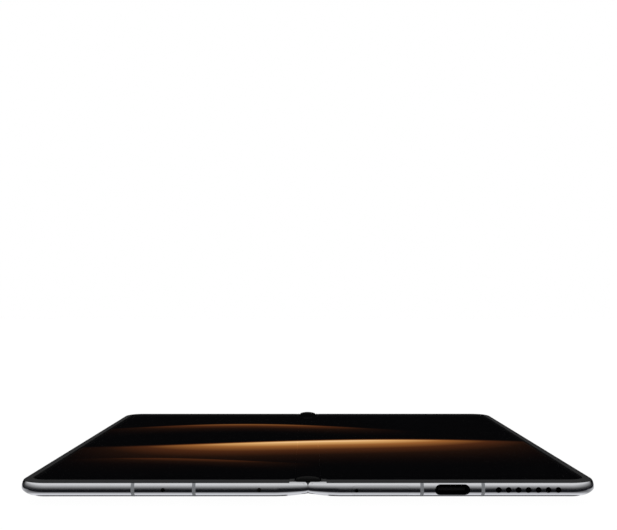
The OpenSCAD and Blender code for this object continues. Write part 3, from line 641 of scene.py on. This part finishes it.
@dataclass(frozen=True)
class OuterSurface:
    """The frames' outer surface as one formula, so that their facets shade as the smooth form they stand for.

    Sizes are in mm. The edge line is part of an ellipse above the widest line and a fuller curve below it,
    and the whole line is flattened and turned in towards the fold.
    """

    half_w: float = 72.65
    half_l: float = 78.3
    corner_r: float = 7.0
    top_z: float = 6.0
    belt_drop: float = 2.1
    top_inset: float = 0.9
    low_drop: float = 2.0
    back_inset: float = 3.8
    power: float = 1.73
    rim_t: float = 0.25
    rise_run: float = 8.0
    rise_share: float = 0.195
    rise_power: float = 1.55
    turn_run: float = 1.4
    turn: float = 0.6
    turn_power: float = 3.0
    tolerance: float = 0.12
    least_dot: float = 0.7

    def group(self) -> bpy.types.NodeTree:
        """Make the modifier group that masks the outer faces and shades them, once.

        Returns:
            The geometry node group.
        """
        made = bpy.data.node_groups.get("outer_surface")
        if made:
            return made
        tree = bpy.data.node_groups.new("outer_surface", "GeometryNodeTree")
        tree.interface.new_socket("Geometry", in_out="INPUT", socket_type="NodeSocketGeometry")
        tree.interface.new_socket("Geometry", in_out="OUTPUT", socket_type="NodeSocketGeometry")
        start = add_node(tree, "NodeGroupInput")
        normal, inset, expected = self.formula(tree)
        own = add_node(tree, "GeometryNodeInputNormal").outputs[0]
        along = add_node(tree, "ShaderNodeVectorMath", {0: own, 1: normal}, operation="DOT_PRODUCT")
        close = abs(inset - expected).math("LESS_THAN", self.tolerance)
        facing = Term(tree, along.outputs["Value"]).math("GREATER_THAN", self.least_dot)
        masked = add_node(tree, "GeometryNodeStoreNamedAttribute", {
            "Geometry": start.outputs[0], "Name": OUTER_MASK, "Value": (close * facing).socket,
        }, data_type="FLOAT", domain="FACE")
        deep = add_node(tree, "GeometryNodeStoreNamedAttribute", {
            "Geometry": masked.outputs[0], "Name": OUTER_DEPTH, "Value": (inset - expected).socket,
        }, data_type="FLOAT", domain="POINT")
        mask = add_node(tree, "GeometryNodeInputNamedAttribute", {"Name": OUTER_MASK}, data_type="FLOAT")
        outer = add_node(tree, "GeometryNodeFieldOnDomain", {
            0: mask.outputs[0],
        }, data_type="FLOAT", domain="FACE")
        is_outer = Term(tree, outer.outputs[0]).math("GREATER_THAN", 0.5)
        chosen = add_node(tree, "GeometryNodeSwitch", {
            "Switch": is_outer.socket, "False": own, "True": normal,
        }, input_type="VECTOR")
        shaded = add_node(tree, "GeometryNodeSetMeshNormal", mode="FREE", domain="CORNER")
        tree.links.new(deep.outputs[0], shaded.inputs["Mesh"])
        tree.links.new(chosen.outputs[0], shaded.inputs["Custom Normal"])
        add_node(tree, "NodeGroupOutput", {0: shaded.outputs[0]})
        return tree

    def formula(self, tree: bpy.types.NodeTree) -> tuple[bpy.types.NodeSocket, Term, Term]:
        """Give the smooth normal, and how far in from the widest line a point and the surface there lie.

        Args:
            tree: The geometry tree.

        Returns:
            The normal as a vector socket, and the two distances in mm.
        """
        x, y, z = point_mm(tree, add_node(tree, "GeometryNodeInputPosition").outputs[0])
        beyond_x = (abs(x) - (self.half_w - self.corner_r)).math("MAXIMUM", 0.0)
        beyond_y = (abs(y) - (self.half_l - self.corner_r)).math("MAXIMUM", 0.0)
        reach = (beyond_x ** 2.0 + beyond_y ** 2.0) ** 0.5
        inset = self.corner_r - reach
        run_left = 1.0 - (abs(x) / self.rise_run).between(0.0, 1.0)
        squeeze = 1.0 - run_left ** self.rise_power * self.rise_share
        drop = (self.top_z - self.rim_t - z) / squeeze + self.rim_t
        over = (1.0 - drop / self.belt_drop).between(0.0, 1.0)
        under = ((drop - self.belt_drop) / self.low_drop).between(0.0, 1.0)
        over_out = (1.0 - over ** 2.0) ** 0.5
        under_out = (1.0 - under ** self.power) ** (1 / self.power)
        expected = (1.0 - over_out) * self.top_inset + (1.0 - under_out) * self.back_inset
        upper = over_out / self.top_inset, over / self.belt_drop
        lower = under_out ** (self.power - 1) / self.back_inset, under ** (self.power - 1) / self.low_drop
        upper_size, lower_size = ((a ** 2.0 + b ** 2.0) ** 0.5 for a, b in (upper, lower))
        out = upper[0] / upper_size * (lower[0] / lower_size)
        rise = upper[1] / upper_size - lower[1] / lower_size
        turned = (1.0 - abs(x) / self.turn_run).math("MAXIMUM", 0.0) ** self.turn_power * self.turn
        side_x, side_y = x.math("SIGN"), y.math("SIGN")
        normal = add_node(tree, "ShaderNodeCombineXYZ", {
            0: (side_x * (beyond_x / reach * out - turned)).socket,
            1: (side_y * beyond_y / reach * out).socket,
            2: rise.socket,
        })
        unit = add_node(tree, "ShaderNodeVectorMath", {0: normal.outputs[0]}, operation="NORMALIZE")
        return unit.outputs[0], inset, expected

    def shade(self, *nodes: str) -> None:
        """Give CAD nodes the group, after their own smoothing."""
        for name in nodes:
            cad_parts[name].modifiers.new("outer_surface", "NODES").node_group = self.group()


# Camera and studio

@dataclass(frozen=True)
class PhotoCamera:
    """The photograph's camera: low in front of the socket edge, looking along the fold and a little up."""

    x_mm: float = -0.17
    y_mm: float = -329.27
    z_mm: float = 50.07
    tilt_up_rad: float = 0.03924
    turn_right_rad: float = 0.00125
    focal_px: float = 1004.7
    frame_px: int = 617
    sensor_mm: float = 36.0
    clip_start_m: float = 0.005

    def build(self) -> None:
        """Make the camera and set it as the scene's."""
        data = bpy.data.cameras.new("photo_camera")
        data.sensor_width = self.sensor_mm
        data.lens = self.sensor_mm * self.focal_px / self.frame_px
        data.clip_start = self.clip_start_m
        camera = bpy.data.objects.new("photo_camera", data)
        camera.location = Vector((self.x_mm, self.y_mm, self.z_mm)) * MM
        camera.rotation_euler = (math.pi / 2 + self.tilt_up_rad, 0.0, -self.turn_right_rad)
        bpy.context.scene.collection.objects.link(camera)
        bpy.context.scene.camera = camera


@dataclass(frozen=True)
class Studio:
    """White table and sky with one soft lamp.

    Polished metal sees a graded sky, a dark stretch of table in front of the socket edge and the bright table
    under the phone. Everything else sees a plain pale room.
    """

    floor_half_m: float = 3.0
    room_light: float = 0.86
    lamp_y_m: float = -0.1
    lamp_height_m: float = 0.7
    lamp_size_m: float = 0.6
    lamp_watts: float = 1.6
    floor_colour: str = "#eeeeee"
    floor_glow: float = 0.985
    floor_share: float = 0.03
    sky_front: tuple[tuple[float, str], ...] = (
        (0.0, "#1e1f20"), (0.05, "#4c4c4c"), (0.1, "#6c6c6c"), (0.22, "#949494"), (0.36, "#bababa"),
        (0.53, "#e2e2e2"), (0.73, "#e9e9e9"), (1.0, "#cccccc"),
    )
    sky_back: tuple[tuple[float, str], ...] = (
        (0.0, "#060606"), (0.28, "#0a0a0a"), (0.44, "#a0a0a0"), (0.8, "#d2d2d2"), (1.0, "#cccccc"),
    )
    # The sky turns from its front shades to its back ones between these two parts of a direction along Y.
    sky_turn_from: float = 0.3
    sky_turn_to: float = 0.6
    # The table's light as polished metal sees it goes by the distance outside the phone's rounded outline, in
    # mm and negative under the phone. In front that is the true distance. Beside and behind the phone it is
    # held down, so that the table stays pale there, dims towards the corners of the socket edge and is dark
    # further off. Far away it is one grey. Under the fold the pale part reaches all the way in.
    pale_at_mm: float = -0.7
    dim_at_mm: float = 1.0
    dark_at_mm: float = 2.0
    table_from_mm: float = 5.7
    table_to_mm: float = -8.3
    half_w_mm: float = 72.65
    half_l_mm: float = 78.3
    corner_mm: float = 7.0
    side_pale_mm: float = 62.0
    side_dim_mm: float = 80.0
    away_pale_mm: float = 15.0
    away_dark_mm: float = 33.0
    far_from_mm: float = 120.0
    far_to_mm: float = 360.0
    far_table: str = "#5e5e60"
    fold_pale_mm: float = 5.0
    fold_dark_mm: float = 9.0
    fold_cap: float = 0.61
    table: tuple[tuple[float, str], ...] = (
        (0.0, "#191a1d"), (0.28, "#1b1c1f"), (0.355, "#7c7c7e"), (0.42, "#bababc"), (0.51, "#d8d8dc"),
        (0.593, "#f4f4f8"), (0.66, "#6a6a6c"), (0.74, "#505052"), (0.86, "#909092"), (1.0, "#a0a0a2"),
    )

    def build(self) -> None:
        """Make the floor, the sky and the lamp."""
        self.floor()
        self.sky()
        self.lamp()

    def floor(self) -> None:
        """Make the table and put it in the scene."""
        mesh = bpy.data.meshes.new("table")
        half = self.floor_half_m
        corners = [(-half, -half, 0), (half, -half, 0), (half, half, 0), (-half, half, 0)]
        mesh.from_pydata(corners, [], [(0, 1, 2, 3)])
        table = bpy.data.objects.new("table", mesh)
        bpy.context.scene.collection.objects.link(table)
        material = bpy.data.materials.new("white_table")
        material.use_nodes = True
        tree = material.node_tree
        tree.nodes.clear()
        path = add_node(tree, "ShaderNodeLightPath")
        plain = add_node(tree, "ShaderNodeBsdfDiffuse", {"Color": linear(self.floor_colour)})
        faint = add_node(tree, "ShaderNodeBsdfDiffuse", {"Color": (self.floor_share,) * 3 + (1.0,)})
        glow = add_node(tree, "ShaderNodeEmission", {"Color": (1, 1, 1, 1), "Strength": self.floor_glow})
        seen = add_node(tree, "ShaderNodeAddShader", {0: faint.outputs[0], 1: glow.outputs[0]})
        mirrored = add_node(tree, "ShaderNodeEmission", {"Color": self.mirrored_table(tree), "Strength": 1.0})
        first = add_node(tree, "ShaderNodeMixShader", {
            0: path.outputs["Is Camera Ray"], 1: plain.outputs[0], 2: seen.outputs[0],
        })
        both = add_node(tree, "ShaderNodeMixShader", {
            0: path.outputs["Is Glossy Ray"], 1: first.outputs[0], 2: mirrored.outputs[0],
        })
        add_node(tree, "ShaderNodeOutputMaterial", {"Surface": both.outputs[0]})
        material.cycles.emission_sampling = "NONE"
        mesh.materials.append(material)

    def mirrored_table(self, tree: bpy.types.NodeTree) -> bpy.types.NodeSocket:
        """Give the table's light as polished metal sees it.

        Args:
            tree: The table's node tree.

        Returns:
            The colour at a point of the table.
        """
        x, y, _ = point_mm(tree, add_node(tree, "ShaderNodeTexCoord").outputs["Object"])
        corner_x = (abs(x) - (self.half_w_mm - self.corner_mm)).math("MAXIMUM", 0.0)
        corner_y = (abs(y) - (self.half_l_mm - self.corner_mm)).math("MAXIMUM", 0.0)
        outline = (corner_x ** 2.0 + corner_y ** 2.0) ** 0.5 - self.corner_mm
        ahead = y * -1.0
        beside = ahead.ramp(self.side_pale_mm, self.side_dim_mm, self.pale_at_mm, self.dim_at_mm)
        beside = beside.math("MAXIMUM", ahead - self.half_l_mm)
        gone = (abs(x) - self.half_w_mm).math("MAXIMUM", y - self.half_l_mm)
        away = gone.ramp(self.away_pale_mm, self.away_dark_mm, self.pale_at_mm, self.dark_at_mm)
        held = outline.math("MINIMUM", beside.math("MAXIMUM", away))
        fold = abs(x).ramp(self.fold_pale_mm, self.fold_dark_mm, self.fold_cap, 1.0)
        along = held.ramp(self.table_from_mm, self.table_to_mm).math("MINIMUM", fold)
        shades = add_node(tree, "ShaderNodeValToRGB", {"Fac": along.socket}, stops=list(self.table))
        far = outline.ramp(self.far_from_mm, self.far_to_mm)
        return add_node(tree, "ShaderNodeMix", {
            "Factor": far.socket, 6: shades.outputs["Color"], 7: linear(self.far_table),
        }, data_type="RGBA").outputs[2]

    def sky(self) -> None:
        """Make the world: white to the camera, graded to polished metal, plain to everything else."""
        world = bpy.data.worlds.new("studio")
        bpy.context.scene.world = world
        world.use_nodes = True
        tree = world.node_tree
        tree.nodes.clear()
        path = add_node(tree, "ShaderNodeLightPath")
        direction = add_node(tree, "ShaderNodeTexCoord").outputs["Generated"]
        parts = add_node(tree, "ShaderNodeSeparateXYZ", {0: direction})
        front = add_node(tree, "ShaderNodeValToRGB", {"Fac": parts.outputs["Z"]}, stops=list(self.sky_front))
        back = add_node(tree, "ShaderNodeValToRGB", {"Fac": parts.outputs["Z"]}, stops=list(self.sky_back))
        share = add_node(tree, "ShaderNodeMapRange", {
            "Value": parts.outputs["Y"], "From Min": self.sky_turn_from, "From Max": self.sky_turn_to,
        })
        graded = add_node(tree, "ShaderNodeMix", {
            "Factor": share.outputs[0], 6: front.outputs["Color"], 7: back.outputs["Color"],
        }, data_type="RGBA")
        room = (self.room_light,) * 3 + (1.0,)
        glossy = add_node(tree, "ShaderNodeMix", {
            "Factor": path.outputs["Is Glossy Ray"], 6: room, 7: graded.outputs[2],
        }, data_type="RGBA")
        final = add_node(tree, "ShaderNodeMix", {
            "Factor": path.outputs["Is Camera Ray"], 6: glossy.outputs[2], 7: (1.0, 1.0, 1.0, 1.0),
        }, data_type="RGBA")
        background = add_node(tree, "ShaderNodeBackground", {"Color": final.outputs[2], "Strength": 1.0})
        add_node(tree, "ShaderNodeOutputWorld", {"Surface": background.outputs[0]})

    def lamp(self) -> None:
        """Hang one soft square lamp over the phone, left out of reflections."""
        data = bpy.data.lights.new("soft_lamp", "AREA")
        data.size = self.lamp_size_m
        data.energy = self.lamp_watts
        lamp = bpy.data.objects.new("soft_lamp", data)
        lamp.location = (0.0, self.lamp_y_m, self.lamp_height_m)
        lamp.visible_glossy = False
        bpy.context.scene.collection.objects.link(lamp)


# The phone's sub-assemblies

@dataclass(frozen=True)
class BendingStrip:
    """Half of a flat sheet that crosses the fold, made as a flat slab the size of the fold's stand-in."""

    name: str
    node: str
    slot: str
    side: int
    half_width_mm: float
    steps: int = 12
    rows: int = 8

    def build(self, finish: Finish) -> bpy.types.Object:
        """Make the strip from the middle of the fold out to its half.

        Args:
            finish: The finish it takes.

        Returns:
            The strip, a flat slab.
        """
        low, high = (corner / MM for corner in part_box(self.node))
        mesh = bpy.data.meshes.new(self.name)
        shape = bmesh.new()
        columns = [self.side * self.half_width_mm * (1 - i / self.steps) for i in range(self.steps + 1)]
        if self.side > 0:
            columns.reverse()
        lines = [low.y + (high.y - low.y) * j / self.rows for j in range(self.rows + 1)]
        layers = []
        for z in (low.z, high.z):
            layers.append([[shape.verts.new(Vector((x, y, z)) * MM) for y in lines] for x in columns])
        for layer, flip in zip(layers, (True, False)):
            for i in range(self.steps):
                for j in range(self.rows):
                    corners = [layer[i][j], layer[i + 1][j], layer[i + 1][j + 1], layer[i][j + 1]]
                    shape.faces.new(reversed(corners) if flip else corners)
        rim = [(i, 0) for i in range(self.steps)] + [(self.steps, j) for j in range(self.rows)]
        rim += [(i, self.rows) for i in range(self.steps, 0, -1)] + [(0, j) for j in range(self.rows, 0, -1)]
        for (a, b), (c, d) in zip(rim, rim[1:] + rim[:1]):
            shape.faces.new([layers[0][a][b], layers[0][c][d], layers[1][c][d], layers[1][a][b]])
        plan = shape.loops.layers.uv.new(PLAN_MAP)
        for face in shape.faces:
            for loop in face.loops:
                x, y = loop.vert.co.x / MM, loop.vert.co.y / MM
                loop[plan].uv = (x / PLAN_SPAN_MM + 0.5, y / PLAN_SPAN_MM + 0.5)
        shape.to_mesh(mesh)
        shape.free()
        mesh.materials.append(finish.material())
        piece = bpy.data.objects.new(self.name, mesh)
        bpy.context.scene.collection.objects.link(piece)
        if self.side < 0:
            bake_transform(piece)
        else:
            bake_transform(piece)
        return piece


@dataclass(frozen=True)
class FoldingScreen:
    """The flexible screen: a flat sheet on each half and two flat strips over the fold."""

    bend_half_mm: float = 3.29
    sheets: tuple[str, ...] = ("left_screen", "right_screen")

    def build(self) -> None:
        """Light both sheets and make the strips that replace the fold's flat stand-in."""
        dress(SCREEN, *self.sheets)
        half = self.bend_half_mm
        left = BendingStrip("screen_strip_left", "fold_screen", "screen", -1, half).build(SCREEN_STRIP)
        right = BendingStrip("screen_strip_right", "fold_screen", "screen", 1, half).build(SCREEN_STRIP)
        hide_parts("fold_screen")
        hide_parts("fold_screen")
        dress(ROLLED_STEEL, "left_backing_plate", "right_backing_plate")
        log.info("screen: %s and two bending strips", ", ".join(self.sheets))


@dataclass(frozen=True)
class FrameHalves:
    """Both polished frames with their rims and antenna bands."""

    smooth_deg: float = 28.0
    frames: tuple[str, ...] = ("left_frame", "right_frame")
    rims: tuple[str, ...] = ("left_rim", "right_rim")
    bands: tuple[str, ...] = ("left_antenna_bands", "right_antenna_bands")

    def build(self) -> None:
        """Polish the frames and dress the plastic set into them."""
        dress(POLISHED_FRAME, *self.frames)
        dress(RIM_PLASTIC, *self.rims)
        dress(BAND_PLASTIC, *self.bands)
        soften(self.smooth_deg, *self.frames, *self.rims, *self.bands)
        OuterSurface().shade(*self.frames)
        log.info("frames: %s", ", ".join(self.frames + self.rims + self.bands))


@dataclass(frozen=True)
class FoldHinge:
    """The spine with its caps, pins, gears, arms and screws, and the flex cable over it."""

    flex_half_mm: float = 4.0
    smooth_deg: float = 35.0

    def build(self) -> None:
        """Dress the hinge's parts and make the two flat halves of the flex cable over the fold."""
        dress(MILLED_STEEL, "spine_carrier", "left_hinge_arms", "right_hinge_arms", "friction_clips")
        dress(SPINE_SHELL, "spine_cover")
        dress(CAP_PLASTIC, "near_hinge_cap", "far_hinge_cap")
        dress(GROUND_STEEL, "left_hinge_pins", "right_hinge_pins")
        dress(SINTERED_STEEL, "left_sync_gears", "right_sync_gears")
        dress(BLACK_OXIDE, "spine_screws", "left_arm_screws", "right_arm_screws")
        dress(POLYIMIDE, "left_flex_tail", "right_flex_tail")
        soften(self.smooth_deg, "near_hinge_cap", "far_hinge_cap", "spine_cover")
        half = self.flex_half_mm
        left = BendingStrip("flex_strip_left", "fold_flex", "flex_film", -1, half).build(POLYIMIDE)
        right = BendingStrip("flex_strip_right", "fold_flex", "flex_film", 1, half).build(POLYIMIDE)
        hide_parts("fold_flex")
        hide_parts("fold_flex")
        log.info("hinge: spine, caps, pins, gears, arms, screws and flex")


@dataclass(frozen=True)
class BackCovers:
    """Cover display on the left back and etched glass on the right back, with their foam rings."""

    def build(self) -> None:
        """Dress both backs."""
        dress(COVER_GLASS, "cover_display_glass")
        dress(DISPLAY_PANEL, "cover_display_panel")
        dress(SEAL_FOAM, "left_cover_seal", "rear_cover_seal")
        dress(ETCHED_GLASS, "rear_cover")
        dress(LENS_BARREL, "cover_camera")
        log.info("backs: cover display and rear cover")


@dataclass(frozen=True)
class CameraIsland:
    """The round island with its glass, rings, windows, modules and flash."""

    smooth_deg: float = 40.0

    def build(self) -> None:
        """Dress the island."""
        dress(ISLAND_METAL, "camera_island")
        dress(ISLAND_GLASS, "camera_glass")
        dress(TURNED_RING, "lens_rings")
        dress(LENS_GLASS, "lens_windows")
        dress(LENS_BARREL, "camera_modules")
        dress(FLASH_SILICONE, "flash_lens")
        soften(self.smooth_deg, "camera_island", "lens_rings", "lens_windows", "camera_glass")
        log.info("camera island: glass, rings, windows, modules and flash")


@dataclass(frozen=True)
class KeysAndPorts:
    """Keys on the right edge, and the tray, socket and speaker in the near edge."""

    smooth_deg: float = 30.0

    def build(self) -> None:
        """Dress the keys and the ports."""
        dress(POLISHED_KEY, "volume_rocker")
        dress(TRAY_METAL, "sim_tray")
        dress(POWER_PAD, "power_key")
        dress(NYLON_BODY, "key_switches")
        dress(TONGUE_PLASTIC, "usb_tongue")
        dress(SILICONE_RUBBER, "sim_seal")
        dress(ROLLED_STEEL, "sim_reader")
        # The socket's shell takes painted shade: its steel is darkened for its place deep in the socket.
        dress(SHADED_SOCKET_STEEL, "usb_shell")
        dress(SPEAKER_WEAVE, "speaker_mesh")
        soften(self.smooth_deg, "volume_rocker", "sim_tray", "power_key", "usb_shell")
        OuterSurface().shade("sim_tray")
        log.info("keys and ports: power, volume, tray, socket, speaker")


@dataclass(frozen=True)
class Insides:
    """Boards, batteries and small parts inside both halves."""

    def build(self) -> None:
        """Dress what the covers hide."""
        dress(SOLDER_MASK, "main_board", "left_board", "lower_board")
        dress(BATTERY_FILM, "left_battery", "right_battery")
        dress(ROLLED_STEEL, "shield_cans")
        dress(NYLON_BODY, "speaker_box", "earpiece")
        dress(NICKEL, "left_microphones", "vibration_motor")
        dress(BLACK_OXIDE, "board_screws")
        log.info("insides: boards, batteries, speaker box, earpiece, motor")


def main() -> None:
    """Build the camera, the studio and every sub-assembly in order."""
    logging.basicConfig(level=logging.INFO, format="%(name)s: %(message)s")
    bpy.context.scene.view_settings.view_transform = "Standard"
    parts: list[Any] = [
        PhotoCamera(), Studio(), FoldingScreen(), FrameHalves(), FoldHinge(), BackCovers(), CameraIsland(),
        KeysAndPorts(), Insides(),
    ]
    for part in parts:
        part.build()
        log.info("built %s", type(part).__name__)
    bpy.context.view_layer.update()


if __name__ == "__main__":
    main()
